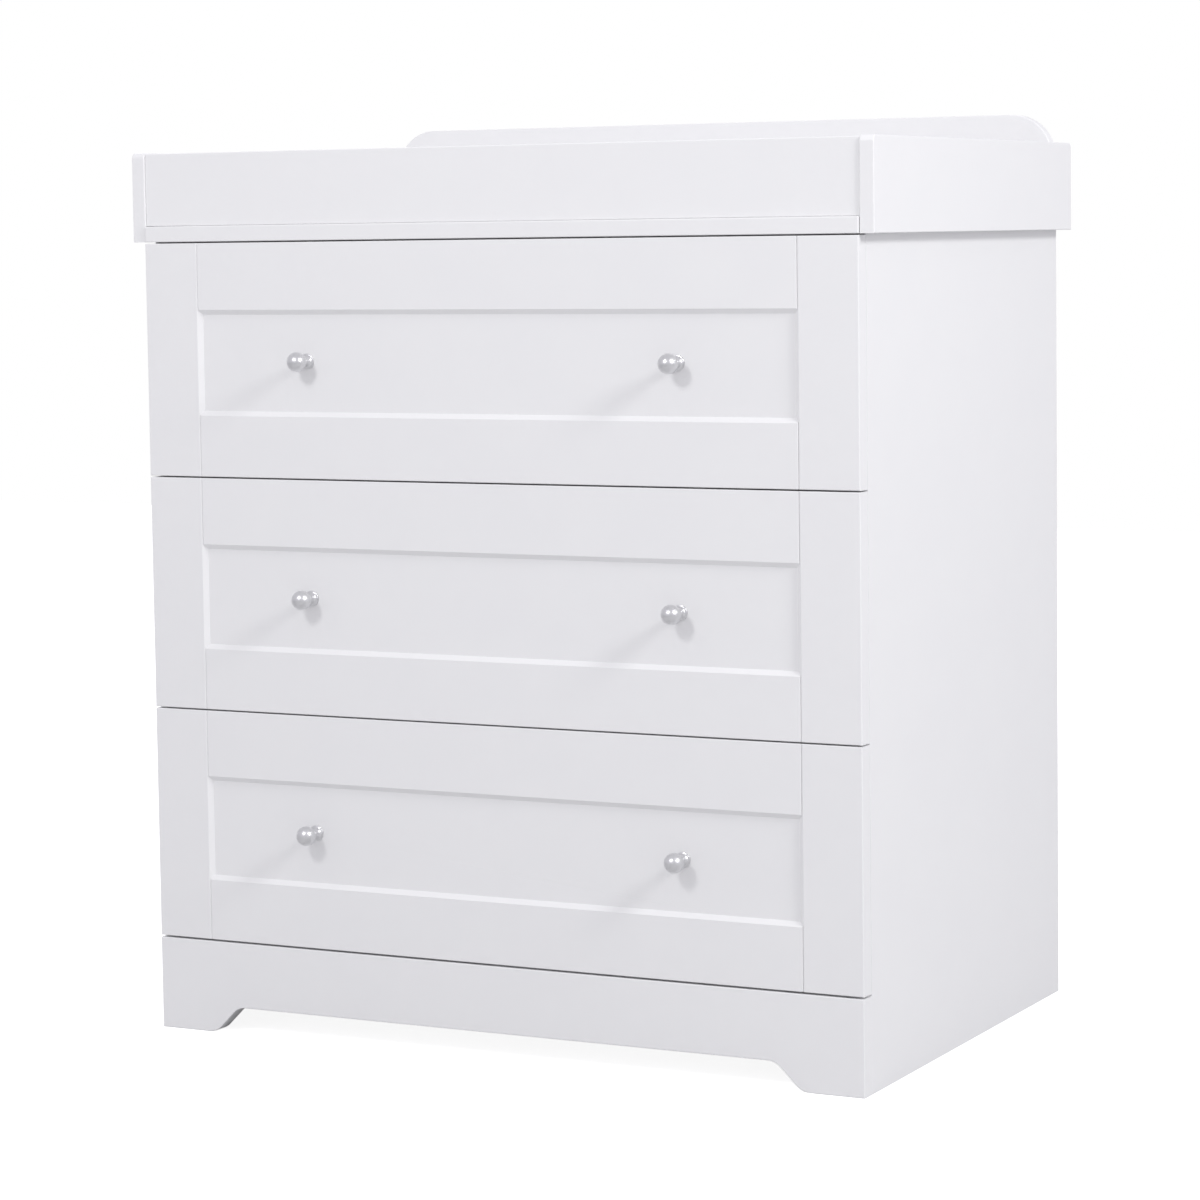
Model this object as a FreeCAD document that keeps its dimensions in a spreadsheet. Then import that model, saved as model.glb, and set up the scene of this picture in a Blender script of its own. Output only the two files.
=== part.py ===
"""Changing table: a three-drawer chest of painted boards with a lift-off changing tray.

X runs along the front, +Y points to the back and +Z up. The origin is the bottom centre of the whole
table's bounding box. Heights count from the floor. In the sheet and below, a depth counts back from
the face of the drawer fronts, and front_y moves that face to its place in the table's frame.
"""
import FreeCAD, Part
import math
import os
import re
import Sketcher
from FreeCAD import Placement, Rotation, Vector

os.makedirs("parts", exist_ok=True)

# Driving dimensions, in millimetres.
SIZES = {
    # chest
    "chest_width": 800.0,
    "chest_depth": 542.0,
    "side_thickness": 18.0,
    "top_underside": 824.0,
    "top_thickness": 16.0,
    "bottom_thickness": 16.0,
    "rail_thickness": 15.0,
    "rear_rail_height": 80.0,
    "top_front_rail_depth": 80.0,
    "back_thickness": 3.0,
    "back_groove": 6.0,
    "board_rounding": 1.5,
    # plinth with bracket feet
    "plinth_height": 96.0,
    "plinth_thickness": 19.0,
    "arch_height": 28.0,
    "foot_width": 66.0,
    "foot_slope": 28.0,
    "foot_rounding": 20.0,
    # drawer fronts
    "front_height": 240.5,
    "front_thickness": 18.0,
    "front_gap": 1.5,
    "front_rounding": 1.0,
    "stile_width": 62.0,
    "top_rail_height": 68.5,
    "bottom_rail_height": 63.0,
    "bevel_width": 5.0,
    "recess_depth": 4.0,
    "panel_rebate": 10.0,
    "panel_thickness": 9.0,
    "joint_rounding": 0.8,
    # drawer boxes
    "box_width": 738.0,
    "box_length": 450.0,
    "box_height": 160.0,
    "box_lift": 12.0,
    "box_board": 12.0,
    "box_floor_thickness": 3.0,
    "box_floor_groove": 5.0,
    "box_floor_height": 8.0,
    # knobs and their screws
    "knob_spacing": 417.0,
    "knob_height": 119.5,
    "knob_base_radius": 8.0,
    "knob_base_rim": 1.5,
    "knob_neck_radius": 4.5,
    "knob_cone_length": 8.0,
    "knob_ball_radius": 10.0,
    "knob_ball_centre": 21.0,
    "knob_screw_radius": 2.0,
    "knob_screw_depth": 12.0,
    "knob_screw_head_radius": 4.0,
    "knob_screw_head_height": 2.5,
    # telescopic runners
    "runner_length": 400.0,
    "runner_setback": 24.0,
    "runner_height": 45.0,
    "runner_lift": 22.0,
    "runner_steel": 1.2,
    "outer_flange": 10.5,
    "middle_inset": 3.5,
    "middle_offset": 2.2,
    "middle_flange": 7.8,
    "inner_inset": 8.5,
    "inner_flange": 8.5,
    # changing tray
    "tray_board": 15.0,
    "tray_side_gap": 0.5,
    "tray_seat_gap": 0.3,
    "tray_front_end": 2.0,
    "tray_rear_end": 546.0,
    "tray_side_height": 92.0,
    "tray_front_height": 74.7,
    "tray_back_height": 106.7,
    "tray_front_inset": 2.0,
    "tray_corner_radius": 6.0,
    "tray_edge_rounding": 1.0,
    "back_corner_radius": 46.0,
    "plate_width": 25.0,
    "plate_length": 62.0,
    "plate_thickness": 1.5,
    "plate_spacing": 500.0,
    "plate_overlap": 36.0,
    "plate_corner_radius": 3.2,
    "plate_screw_low": 8.0,
    "plate_screw_high": 18.0,
    "plate_screw_radius": 1.75,
    "plate_screw_depth": 11.0,
    "plate_screw_head_radius": 3.5,
    "plate_screw_head_height": 1.7,
    # dowels, cam locks and wall holes
    "dowel_radius": 4.0,
    "dowel_length": 30.0,
    "dowel_short_end": 10.0,
    "cam_radius": 7.5,
    "cam_height": 12.5,
    "cam_distance": 34.0,
    "bolt_radius": 3.0,
    "bolt_depth": 10.0,
    "bottom_cam_front": 90.0,
    "bottom_cam_rear": 430.0,
    "bottom_dowel_depth": 260.0,
    "top_rail_cam_depth": 45.0,
    "top_rail_dowel_depth": 75.0,
    "top_dowel_front": 130.0,
    "top_dowel_rear": 430.0,
    "rear_cam_drop": 25.0,
    "rear_dowel_drop": 58.0,
    "plinth_cam_height": 40.0,
    "plinth_dowel_height": 73.0,
    "plinth_front_dowel_height": 50.0,
    "tray_dowel_low": 22.0,
    "tray_dowel_high": 52.0,
    "wall_hole_radius": 2.5,
    "wall_hole_spacing": 600.0,
}
KNOB_TIP = SIZES["knob_ball_centre"] + SIZES["knob_ball_radius"] - SIZES["recess_depth"]
SIZES["front_y"] = -(SIZES["tray_rear_end"] - KNOB_TIP) / 2.0

CLOSE = 0.01
LEAST_CUT = 1.0
DRAWERS = (1, 2, 3)
SIDES = (("left", -1), ("right", 1))
PLANE_AXES = {"XY_Plane": Vector(0, 0, 1), "XZ_Plane": Vector(0, -1, 0), "YZ_Plane": Vector(1, 0, 0)}
TURNS = {
    "X": Rotation(Vector(0, 0, 1), Vector(1, 0, 0)),
    "Y": Rotation(Vector(0, 0, 1), Vector(0, 1, 0)),
    "Z": Rotation(),
}

doc = FreeCAD.newDocument("changing_table")
sheet = doc.addObject("Spreadsheet::Sheet", "size")
for row, (name, number) in enumerate(SIZES.items(), start=1):
    sheet.set("A%d" % row, name)
    sheet.set("B%d" % row, str(number))
    sheet.setAlias("B%d" % row, name)
doc.recompute()

nodes = {}
corners = {}
cuts = []


def from_sheet(text):
    """Turn plain size names in an expression into references to the sheet's cells."""
    return re.sub(r"[a-z_]+", lambda word: "size." + word.group(0), str(text))


def bind(item, prop, text):
    item.setExpression(prop, from_sheet(text))


def move_to(item, corner):
    """Bind an object's place, given as three expressions."""
    for axis, text in zip("xyz", corner):
        bind(item, "Placement.Base." + axis, text)


def in_frame(corner):
    """A corner given by its depth behind the drawer fronts, as a corner in the table's frame."""
    return (corner[0], "front_y + (%s)" % corner[1], corner[2])


def origin_plane(body, role):
    return next(plane for plane in body.Origin.OriginFeatures if plane.Role == role)


def polygon(sketch, points):
    """Closed outline whose corners are bound to the sheet; a coordinate of 0 lies on the axis."""
    count = len(points)
    turns = [math.tau * i / count for i in range(count)]
    start = [Vector(math.cos(turn), math.sin(turn), 0) for turn in turns]
    for i in range(count):
        sketch.addGeometry(Part.LineSegment(start[i], start[(i + 1) % count]), False)
    for i in range(count):
        sketch.addConstraint(Sketcher.Constraint("Coincident", i, 2, (i + 1) % count, 1))
    for i, point in enumerate(points):
        for kind, axis, text in zip(("DistanceX", "DistanceY"), (-2, -1), point):
            if text == "0":
                sketch.addConstraint(Sketcher.Constraint("PointOnObject", i, 1, axis))
                continue
            number = sketch.addConstraint(Sketcher.Constraint(kind, -1, 1, i, 1, 10.0))
            sketch.renameConstraint(number, "corner_%d_%s" % (i, kind[-1].lower()))
            bind(sketch, "Constraints.corner_%d_%s" % (i, kind[-1].lower()), text)


def extruded(label, corner, plane, points, thickness):
    """One board: an outline on an origin plane, padded along +X, +Y or +Z."""
    body = doc.addObject("PartDesign::Body", label)
    body.Label = label
    sketch = body.newObject("Sketcher::SketchObject", label + "_outline")
    sketch.AttachmentSupport = (origin_plane(body, plane), [""])
    sketch.MapMode = "FlatFace"
    polygon(sketch, points)
    pad = body.newObject("PartDesign::Pad", label + "_pad")
    pad.Profile = sketch
    pad.Reversed = plane == "XZ_Plane"
    bind(pad, "Length", thickness)
    corners[label] = in_frame(corner)
    move_to(body, corners[label])
    doc.recompute()
    return body


def rectangle(width, height):
    return [("0", "0"), (width, "0"), (width, height), ("0", height)]


def board(label, corner, size, rounding=None):
    """A plain rectangular board with its low corner and its three sizes; rounding softens every edge."""
    body = extruded(label, corner, "XY_Plane", rectangle(size[0], size[1]), size[2])
    if rounding:
        dress(body, "Fillet", {"Radius": rounding}, lambda edge: True)
    return body


def dress(body, kind, sizes, wanted):
    """Fillet or chamfer the edges of the body's last shape that the test picks."""
    base = body.Tip
    names = ["Edge%d" % (i + 1) for i, edge in enumerate(base.Shape.Edges) if wanted(edge)]
    if not names:
        raise ValueError("no edge to dress on " + body.Label)
    feature = body.newObject("PartDesign::" + kind, "%s_%s_%d" % (body.Label, kind.lower(), len(body.Group)))
    feature.Base = (base, names)
    for prop, text in sizes.items():
        bind(feature, prop, text)
    doc.recompute()
    return feature


def cut_box(body, corner, size):
    """Cut a box, given in the table's frame by its low corner and size, out of a body."""
    feature = body.newObject("PartDesign::SubtractiveBox", "%s_cut_%d" % (body.Label, len(body.Group)))
    for prop, text in zip(("Length", "Width", "Height"), size):
        bind(feature, prop, text)
    finish_cut(body, feature, corner)


def drill(body, point, axis, radius, depth):
    """Drill a round hole along +X, +Y or +Z from a point in the table's frame."""
    feature = body.newObject("PartDesign::SubtractiveCylinder", "%s_hole_%d" % (body.Label, len(body.Group)))
    feature.Placement = Placement(Vector(), TURNS[axis])
    bind(feature, "Radius", radius)
    bind(feature, "Height", depth)
    finish_cut(body, feature, point)


def finish_cut(body, feature, point):
    """Place a cut relative to its body, and remember it for the volume check."""
    place = in_frame(point)
    move_to(feature, ["(%s) - (%s)" % pair for pair in zip(place, corners[body.Label])])
    doc.recompute()
    cuts.append(feature)


def keep(item):
    nodes[item.Label] = item
    return item


def rod(name, point, axis, radius, length):
    """A plain round bar along +X, +Y or +Z from a point in the table's frame."""
    item = doc.addObject("Part::Cylinder", name)
    item.Placement = Placement(Vector(), TURNS[axis])
    bind(item, "Radius", radius)
    bind(item, "Height", length)
    move_to(item, in_frame(point))
    return item


def group(label, items):
    """Identical small pieces kept together in one node, each still its own solid."""
    item = doc.addObject("Part::Compound", label)
    item.Label = label
    item.Links = items
    return keep(item)


def at_depth(edge, depth):
    """True for an edge that lies wholly at one local Y."""
    return all(abs(vertex.Point.y - depth) < CLOSE for vertex in edge.Vertexes)


def runs_along(edge, axis):
    """True for an edge parallel to an axis, where axis is 0, 1 or 2 for X, Y or Z."""
    direction = edge.Vertexes[-1].Point - edge.Vertexes[0].Point
    return all(abs(direction[other]) < CLOSE for other in range(3) if other != axis)


def off_bottom(edge):
    """True for an edge that starts above the underside of its body."""
    return edge.Vertexes[0].Point.z > CLOSE


# ------------------------------------------------------------------ chest boards
INNER_WIDTH = "chest_width - 2 * side_thickness"
BOARD_BOTTOM = "plinth_height - bottom_thickness"
BACK_Y = "chest_depth - rail_thickness - back_thickness"
RAIL_Y = "chest_depth - rail_thickness"
LEFT_INNER = "-chest_width / 2 + side_thickness"
RAIL_BOTTOM = "top_underside - rear_rail_height"

side_panels = {}
for side, sign in SIDES:
    left_edge = "-chest_width / 2" if sign < 0 else "chest_width / 2 - side_thickness"
    panel = board("side_panel_" + side, (left_edge, "plinth_thickness", "0"),
                  ("side_thickness", "chest_depth - plinth_thickness", "top_underside"))
    dress(panel, "Fillet", {"Radius": "joint_rounding"}, lambda edge: runs_along(edge, 2))
    groove_x = LEFT_INNER + " - back_groove" if sign < 0 else "chest_width / 2 - side_thickness"
    cut_box(panel, (groove_x, BACK_Y, BOARD_BOTTOM), ("back_groove", "back_thickness", "top_underside"))
    side_panels[sign] = keep(panel)

top_panel = keep(board("top_panel", ("-chest_width / 2", "0", "top_underside"),
                       ("chest_width", "chest_depth", "top_thickness"), "front_rounding"))
bottom_panel = keep(board("bottom_panel", (LEFT_INNER, "plinth_thickness", BOARD_BOTTOM),
                          (INNER_WIDTH, "chest_depth - plinth_thickness - rail_thickness",
                           "bottom_thickness")))
cut_box(bottom_panel, (LEFT_INNER, BACK_Y, BOARD_BOTTOM), (INNER_WIDTH, "back_thickness", "bottom_thickness"))
back_panel = keep(board("back_panel", (LEFT_INNER + " - back_groove", BACK_Y, BOARD_BOTTOM),
                        (INNER_WIDTH + " + 2 * back_groove", "back_thickness",
                         "top_underside - plinth_height + bottom_thickness")))
top_front_rail = keep(board("top_front_rail",
                            (LEFT_INNER, "plinth_thickness", "top_underside - top_thickness"),
                            (INNER_WIDTH, "top_front_rail_depth", "top_thickness")))
top_rear_rail = keep(board("top_rear_rail", (LEFT_INNER, RAIL_Y, RAIL_BOTTOM),
                           (INNER_WIDTH, "rail_thickness", "rear_rail_height")))
plinth_rear_rail = keep(board("plinth_rear_rail", (LEFT_INNER, RAIL_Y, "plinth_height - rear_rail_height"),
                              (INNER_WIDTH, "rail_thickness", "rear_rail_height")))

plinth_front = extruded(
    "plinth_front", ("-chest_width / 2", "0", "0"), "XZ_Plane",
    [("0", "0"), ("foot_width", "0"), ("foot_width + foot_slope", "arch_height"),
     ("chest_width - foot_width - foot_slope", "arch_height"), ("chest_width - foot_width", "0"),
     ("chest_width", "0"), ("chest_width", "plinth_height"), ("0", "plinth_height")],
    "plinth_thickness")
SLOPE_ENDS = [SIZES["foot_width"], SIZES["foot_width"] + SIZES["foot_slope"]]
SLOPE_ENDS += [SIZES["chest_width"] - x for x in SLOPE_ENDS]
dress(plinth_front, "Fillet", {"Radius": "foot_rounding"},
      lambda edge: runs_along(edge, 1) and any(abs(edge.Vertexes[0].Point.x - x) < CLOSE for x in SLOPE_ENDS))
dress(plinth_front, "Fillet", {"Radius": "front_rounding"}, lambda edge: at_depth(edge, 0.0))
keep(plinth_front)

# ------------------------------------------------------------------ dowels, cam locks and wall holes
dowels = []
bolts = []
cams = []


def dowel(point, axis, boards):
    """A dowel that starts at a point and runs along an axis through two boards."""
    for item in boards:
        drill(item, point, axis, "dowel_radius", "dowel_length")
    dowels.append(rod("dowel_%d" % len(dowels), point, axis, "dowel_radius", "dowel_length"))


def cam_lock(sign, depth, height, rail, upright):
    """A cam bolt from a side panel into a board's end, and the cam that draws it tight."""
    inner = "chest_width / 2 - side_thickness"
    reach = "bolt_depth + cam_distance - cam_radius"
    start = "-(%s) - bolt_depth" % inner if sign < 0 else "%s - cam_distance + cam_radius" % inner
    for item in (side_panels[sign], rail):
        drill(item, (start, depth, height), "X", "bolt_radius", reach)
    bolts.append(rod("bolt_%d" % len(bolts), (start, depth, height), "X", "bolt_radius", reach))
    centre = "-(%s) + cam_distance" % inner if sign < 0 else "%s - cam_distance" % inner
    if upright:
        mouth, axis = (centre, "chest_depth - cam_height", height), "Y"
    else:
        mouth, axis = (centre, depth, "(%s) - bottom_thickness / 2" % height), "Z"
    drill(rail, mouth, axis, "cam_radius", "cam_height")
    cams.append(rod("cam_%d" % len(cams), mouth, axis, "cam_radius", "cam_height"))


SIDE_MIDDLE = "chest_width / 2 - side_thickness / 2"
RAIL_MIDDLE = "chest_depth - rail_thickness / 2"
for side, sign in SIDES:
    middle = SIDE_MIDDLE if sign > 0 else "-(%s)" % SIDE_MIDDLE
    panel = side_panels[sign]
    dowel_x = (LEFT_INNER + " - dowel_short_end" if sign < 0
               else "chest_width / 2 - side_thickness - dowel_length + dowel_short_end")
    bottom_middle = "plinth_height - bottom_thickness / 2"
    top_rail_middle = "top_underside - top_thickness / 2"
    for depth in ("bottom_cam_front", "bottom_cam_rear"):
        cam_lock(sign, depth, bottom_middle, bottom_panel, False)
    cam_lock(sign, "top_rail_cam_depth", top_rail_middle, top_front_rail, False)
    cam_lock(sign, RAIL_MIDDLE, "top_underside - rear_cam_drop", top_rear_rail, True)
    cam_lock(sign, RAIL_MIDDLE, "plinth_cam_height", plinth_rear_rail, True)
    dowel((dowel_x, "bottom_dowel_depth", bottom_middle), "X", (panel, bottom_panel))
    dowel((dowel_x, "top_rail_dowel_depth", top_rail_middle), "X", (panel, top_front_rail))
    dowel((dowel_x, RAIL_MIDDLE, "top_underside - rear_dowel_drop"), "X", (panel, top_rear_rail))
    dowel((dowel_x, RAIL_MIDDLE, "plinth_dowel_height"), "X", (panel, plinth_rear_rail))
    dowel((middle, "plinth_thickness - dowel_short_end", "plinth_front_dowel_height"), "Y",
          (panel, plinth_front))
    for depth in ("top_dowel_front", "top_dowel_rear"):
        dowel((middle, depth, "top_underside + dowel_short_end - dowel_length"), "Z", (panel, top_panel))
    board_x = "knob_spacing / 2" if sign > 0 else "-knob_spacing / 2"
    dowel((board_x, "plinth_thickness - dowel_short_end", bottom_middle), "Y", (plinth_front, bottom_panel))
    wall_x = "wall_hole_spacing / 2" if sign > 0 else "-wall_hole_spacing / 2"
    for item in (back_panel, top_rear_rail):
        drill(item, (wall_x, BACK_Y, "top_underside - rear_rail_height / 2"), "Y",
              "wall_hole_radius", "rail_thickness + back_thickness")
group("chest_dowels", dowels)
group("chest_cam_bolts", bolts)
group("chest_cam_locks", cams)


# ------------------------------------------------------------------ drawers
def front_bottom(number):
    """Height of the lower edge of a drawer front; drawer 1 is the top one."""
    return "top_underside - %d * (front_gap + front_height)" % number


def stile(label, sign, bottom):
    """Upright of a drawer front: bevelled towards the recess, rebated behind for the panel."""
    reach = "stile_width + bevel_width"
    outline = [("0", "0"), ("stile_width", "0"), (reach, "recess_depth"),
               (reach + " - panel_rebate", "recess_depth"), (reach + " - panel_rebate", "front_thickness"),
               ("0", "front_thickness")]
    left = "-chest_width / 2"
    if sign > 0:
        outline = [("(%s) - (%s)" % (reach, x) if x != reach else "0", y) for x, y in reversed(outline)]
        left = "chest_width / 2 - (%s)" % reach
    body = extruded(label, (left, "0", bottom), "XY_Plane", outline, "front_height")
    joint_x = SIZES["stile_width"] if sign < 0 else SIZES["bevel_width"]
    dress(body, "Fillet", {"Radius": "front_rounding"},
          lambda edge: at_depth(edge, 0.0) and abs(edge.CenterOfMass.x - joint_x) > CLOSE)
    dress(body, "Fillet", {"Radius": "joint_rounding"},
          lambda edge: at_depth(edge, 0.0) and runs_along(edge, 2) and
          abs(edge.CenterOfMass.x - joint_x) < CLOSE)
    return keep(body)


def rail(label, bottom, height, upper):
    """Cross rail of a drawer front, its ends shaped to fit over the bevels of the stiles."""
    half = "chest_width / 2 - stile_width"
    lap = "bevel_width"
    width = "chest_width - 2 * stile_width"
    tongue = "panel_rebate - bevel_width"
    outline = [(tongue, "0"), ("%s + %s" % (width, tongue), "0"),
               ("%s + %s - %s" % (width, tongue, lap), "recess_depth"),
               ("%s + 2 * (%s)" % (width, tongue), "recess_depth"),
               ("%s + 2 * (%s)" % (width, tongue), "front_thickness"),
               ("0", "front_thickness"), ("0", "recess_depth"),
               ("%s + %s" % (tongue, lap), "recess_depth")]
    full = "(%s) + bevel_width" % height
    low = "(%s) - bevel_width" % bottom if upper else bottom
    body = extruded(label, ("-(%s) - (%s)" % (half, tongue), "0", low), "XY_Plane", outline, full)
    inner_z = 0.0 if upper else body.Tip.Shape.BoundBox.ZMax
    outer_z = body.Tip.Shape.BoundBox.ZMax - inner_z
    bevel = dress(body, "Chamfer", {},
                  lambda edge: at_depth(edge, 0.0) and abs(edge.Vertexes[0].Point.z - inner_z) < CLOSE and
                  runs_along(edge, 0))
    bevel.ChamferType = "Two distances"
    bind(bevel, "Size", "bevel_width")
    bind(bevel, "Size2", "recess_depth")
    doc.recompute()
    dress(body, "Fillet", {"Radius": "joint_rounding"},
          lambda edge: at_depth(edge, 0.0) and runs_along(edge, 2))
    dress(body, "Fillet", {"Radius": "front_rounding"},
          lambda edge: at_depth(edge, 0.0) and abs(edge.CenterOfMass.z - outer_z) < CLOSE)
    return keep(body)


def channel(name, web_x, sign, height_inset, flange, bottom, opens_inward):
    """One steel member of a runner: a channel that opens towards or away from the drawer."""
    steel = "runner_steel"
    tall = "runner_height - 2 * (%s)" % height_inset
    toward = -sign if opens_inward else sign
    low_x = web_x if toward > 0 else "(%s) - (%s)" % (web_x, flange)
    body = extruded(name, (low_x, "runner_setback", "(%s) + (%s)" % (bottom, height_inset)), "XZ_Plane",
                    rectangle(flange, tall), "runner_length")
    hollow_x = "(%s) + %s" % (low_x, steel) if toward > 0 else low_x
    cut_box(body, (hollow_x, "runner_setback", "(%s) + (%s) + %s" % (bottom, height_inset, steel)),
            ("%s - %s" % (flange, steel), "runner_length", "%s - 2 * %s" % (tall, steel)))
    return body


def knob(name, sign, height):
    """Turned knob: a ball on a short neck that flares to a round base on the drawer panel."""
    body = doc.addObject("PartDesign::Body", name)
    sketch = body.newObject("Sketcher::SketchObject", name + "_profile")
    sketch.AttachmentSupport = (origin_plane(body, "XY_Plane"), [""])
    sketch.MapMode = "FlatFace"
    base, rim = SIZES["knob_base_radius"], SIZES["knob_base_rim"]
    neck, cone = SIZES["knob_neck_radius"], SIZES["knob_cone_length"]
    ball, centre = SIZES["knob_ball_radius"], SIZES["knob_ball_centre"]
    meet = centre - math.sqrt(ball ** 2 - neck ** 2)
    points = [Vector(0, 0, 0), Vector(base, 0, 0), Vector(base, rim, 0), Vector(neck, cone, 0),
              Vector(neck, meet, 0)]
    for start, end in zip(points, points[1:]):
        sketch.addGeometry(Part.LineSegment(start, end), False)
    circle = Part.Circle(Vector(0, centre, 0), Vector(0, 0, 1), ball)
    sketch.addGeometry(Part.ArcOfCircle(circle, math.atan2(meet - centre, neck), math.pi / 2), False)
    sketch.addGeometry(Part.LineSegment(Vector(0, centre + ball, 0), points[0]), False)
    link = [("Coincident", i, 2, i + 1, 1) for i in range(4)]
    link += [("Coincident", 4, 1, 3, 2), ("Coincident", 4, 2, 5, 1), ("Coincident", 5, 2, 0, 1)]
    link[3] = ("Coincident", 0, 1, -1, 1)
    link += [("Horizontal", 0), ("Vertical", 1), ("Vertical", 3), ("Vertical", 5),
             ("PointOnObject", 4, 3, -2)]
    for item in link:
        sketch.addConstraint(Sketcher.Constraint(*item))
    sized = {
        "base": (("DistanceX", 0, 1, 0, 2, base), "knob_base_radius"),
        "rim": (("DistanceY", 1, 1, 1, 2, rim), "knob_base_rim"),
        "neck": (("DistanceX", -1, 1, 3, 1, neck), "knob_neck_radius"),
        "cone": (("DistanceY", -1, 1, 3, 1, cone), "knob_cone_length"),
        "ball": (("Radius", 4, ball), "knob_ball_radius"),
        "centre": (("DistanceY", -1, 1, 4, 3, centre), "knob_ball_centre"),
    }
    for label, (item, text) in sized.items():
        number = sketch.addConstraint(Sketcher.Constraint(*item))
        sketch.renameConstraint(number, label)
        bind(sketch, "Constraints." + label, text)
    turned = body.newObject("PartDesign::Revolution", name + "_turned")
    turned.Profile = sketch
    turned.ReferenceAxis = (sketch, ["V_Axis"])
    turned.Angle = 360.0
    body.Placement = Placement(Vector(), Rotation(Vector(0, 0, 1), 180))
    place = in_frame(("%d * knob_spacing / 2" % sign, "recess_depth", height))
    move_to(body, place)
    hole = body.newObject("PartDesign::SubtractiveCylinder", name + "_hole")
    hole.Placement = Placement(Vector(), TURNS["Y"])
    bind(hole, "Radius", "knob_screw_radius")
    bind(hole, "Height", "knob_screw_depth")
    doc.recompute()
    cuts.append(hole)
    return body


def screw(name, point, radius, length, head_radius, head_height):
    """A screw that points to -Y: its shank starts at the point and its head lies behind the point."""
    shank = rod(name + "_shank", (point[0], "%s - (%s)" % (point[1], length), point[2]), "Y", radius, length)
    head = rod(name + "_head", point, "Y", head_radius, head_height)
    item = doc.addObject("Part::MultiFuse", name)
    item.Shapes = [shank, head]
    return item


outer_members = {-1: [], 1: []}
for number in DRAWERS:
    name = "drawer_%d_" % number
    bottom = front_bottom(number)
    panel_bottom = "%s + bottom_rail_height + bevel_width - panel_rebate" % bottom
    panel_height = ("front_height - top_rail_height - bottom_rail_height"
                    " - 2 * bevel_width + 2 * panel_rebate")
    for side, sign in SIDES:
        stile(name + "stile_" + side, sign, bottom)
    top_rail = rail(name + "rail_top", "%s + front_height - top_rail_height" % bottom,
                    "top_rail_height", True)
    bottom_rail = rail(name + "rail_bottom", bottom, "bottom_rail_height", False)
    opening_x = "-chest_width / 2 + stile_width + bevel_width - panel_rebate"
    opening_width = "chest_width - 2 * (stile_width + bevel_width - panel_rebate)"
    for item in (top_rail, bottom_rail):
        cut_box(item, (opening_x, "recess_depth", panel_bottom),
                (opening_width, "front_thickness - recess_depth", panel_height))
    panel = keep(board(name + "front_panel", (opening_x, "recess_depth", panel_bottom),
                       (opening_width, "panel_thickness", panel_height)))

    box_bottom = "%s + box_lift" % bottom
    floor_bottom = "%s + box_floor_height" % box_bottom
    for side, sign in SIDES:
        left = "-box_width / 2" if sign < 0 else "box_width / 2 - box_board"
        box_side = board(name + "box_side_" + side, (left, "front_thickness", box_bottom),
                         ("box_board", "box_length", "box_height"))
        dress(box_side, "Fillet", {"Radius": "board_rounding"},
              lambda edge: runs_along(edge, 1) and off_bottom(edge))
        groove_x = ("-box_width / 2 + box_board - box_floor_groove" if sign < 0
                    else "box_width / 2 - box_board")
        cut_box(box_side, (groove_x, "front_thickness", floor_bottom),
                ("box_floor_groove", "box_length", "box_floor_thickness"))
        keep(box_side)
    keep(board(name + "box_back",
               ("-box_width / 2 + box_board", "front_thickness + box_length - box_board",
                "%s + box_floor_thickness" % floor_bottom),
               ("box_width - 2 * box_board", "box_board",
                "box_height - box_floor_height - box_floor_thickness")))
    keep(board(name + "box_floor",
               ("-box_width / 2 + box_board - box_floor_groove", "front_thickness", floor_bottom),
               ("box_width - 2 * box_board + 2 * box_floor_groove", "box_length", "box_floor_thickness")))

    knob_z = "%s + knob_height" % bottom
    knobs = []
    screws = []
    for side, sign in SIDES:
        knobs.append(knob("%sknob_%s" % (name, side), sign, knob_z))
        centre = ("%d * knob_spacing / 2" % sign, "recess_depth + panel_thickness", knob_z)
        screws.append(screw("%sscrew_%s" % (name, side), centre, "knob_screw_radius",
                            "knob_screw_depth + panel_thickness", "knob_screw_head_radius",
                            "knob_screw_head_height"))
        drill(panel, (centre[0], "recess_depth", knob_z), "Y", "knob_screw_radius", "panel_thickness")
    group(name + "knobs", knobs)
    group(name + "knob_screws", screws)

    runner_bottom = "%s + runner_lift" % box_bottom
    inner_members = []
    middle_members = []
    for side, sign in SIDES:
        part = "%srunner_%s_" % (name, side)
        wall = "%d * (chest_width / 2 - side_thickness)" % sign
        outer_members[sign].append(channel(part + "outer", wall, sign, "0", "outer_flange",
                                           runner_bottom, True))
        middle_members.append(channel(part + "middle", "%s - %d * middle_offset" % (wall, sign), sign,
                                      "middle_inset", "middle_flange", runner_bottom, True))
        inner_members.append(channel(part + "inner", "%d * box_width / 2" % sign, sign, "inner_inset",
                                     "inner_flange", runner_bottom, False))
    group(name + "runner_middle_members", middle_members)
    group(name + "runner_inner_members", inner_members)
for side, sign in SIDES:
    group("runner_outer_members_" + side, outer_members[sign])

# ------------------------------------------------------------------ changing tray
TRAY_INNER = "chest_width / 2 + tray_side_gap"
TRAY_SEAT = "top_underside + top_thickness + tray_seat_gap"
tray_sides = {}
for side, sign in SIDES:
    left = "-(%s) - tray_board" % TRAY_INNER if sign < 0 else TRAY_INNER
    tray_side = extruded("changer_side_" + side, (left, "tray_front_end", "top_underside"), "YZ_Plane",
                         rectangle("tray_rear_end - tray_front_end", "tray_side_height"), "tray_board")
    dress(tray_side, "Fillet", {"Radius": "tray_corner_radius"},
          lambda edge: runs_along(edge, 0) and off_bottom(edge))
    dress(tray_side, "Fillet", {"Radius": "tray_edge_rounding"}, lambda edge: not runs_along(edge, 0))
    tray_sides[sign] = keep(tray_side)

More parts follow.
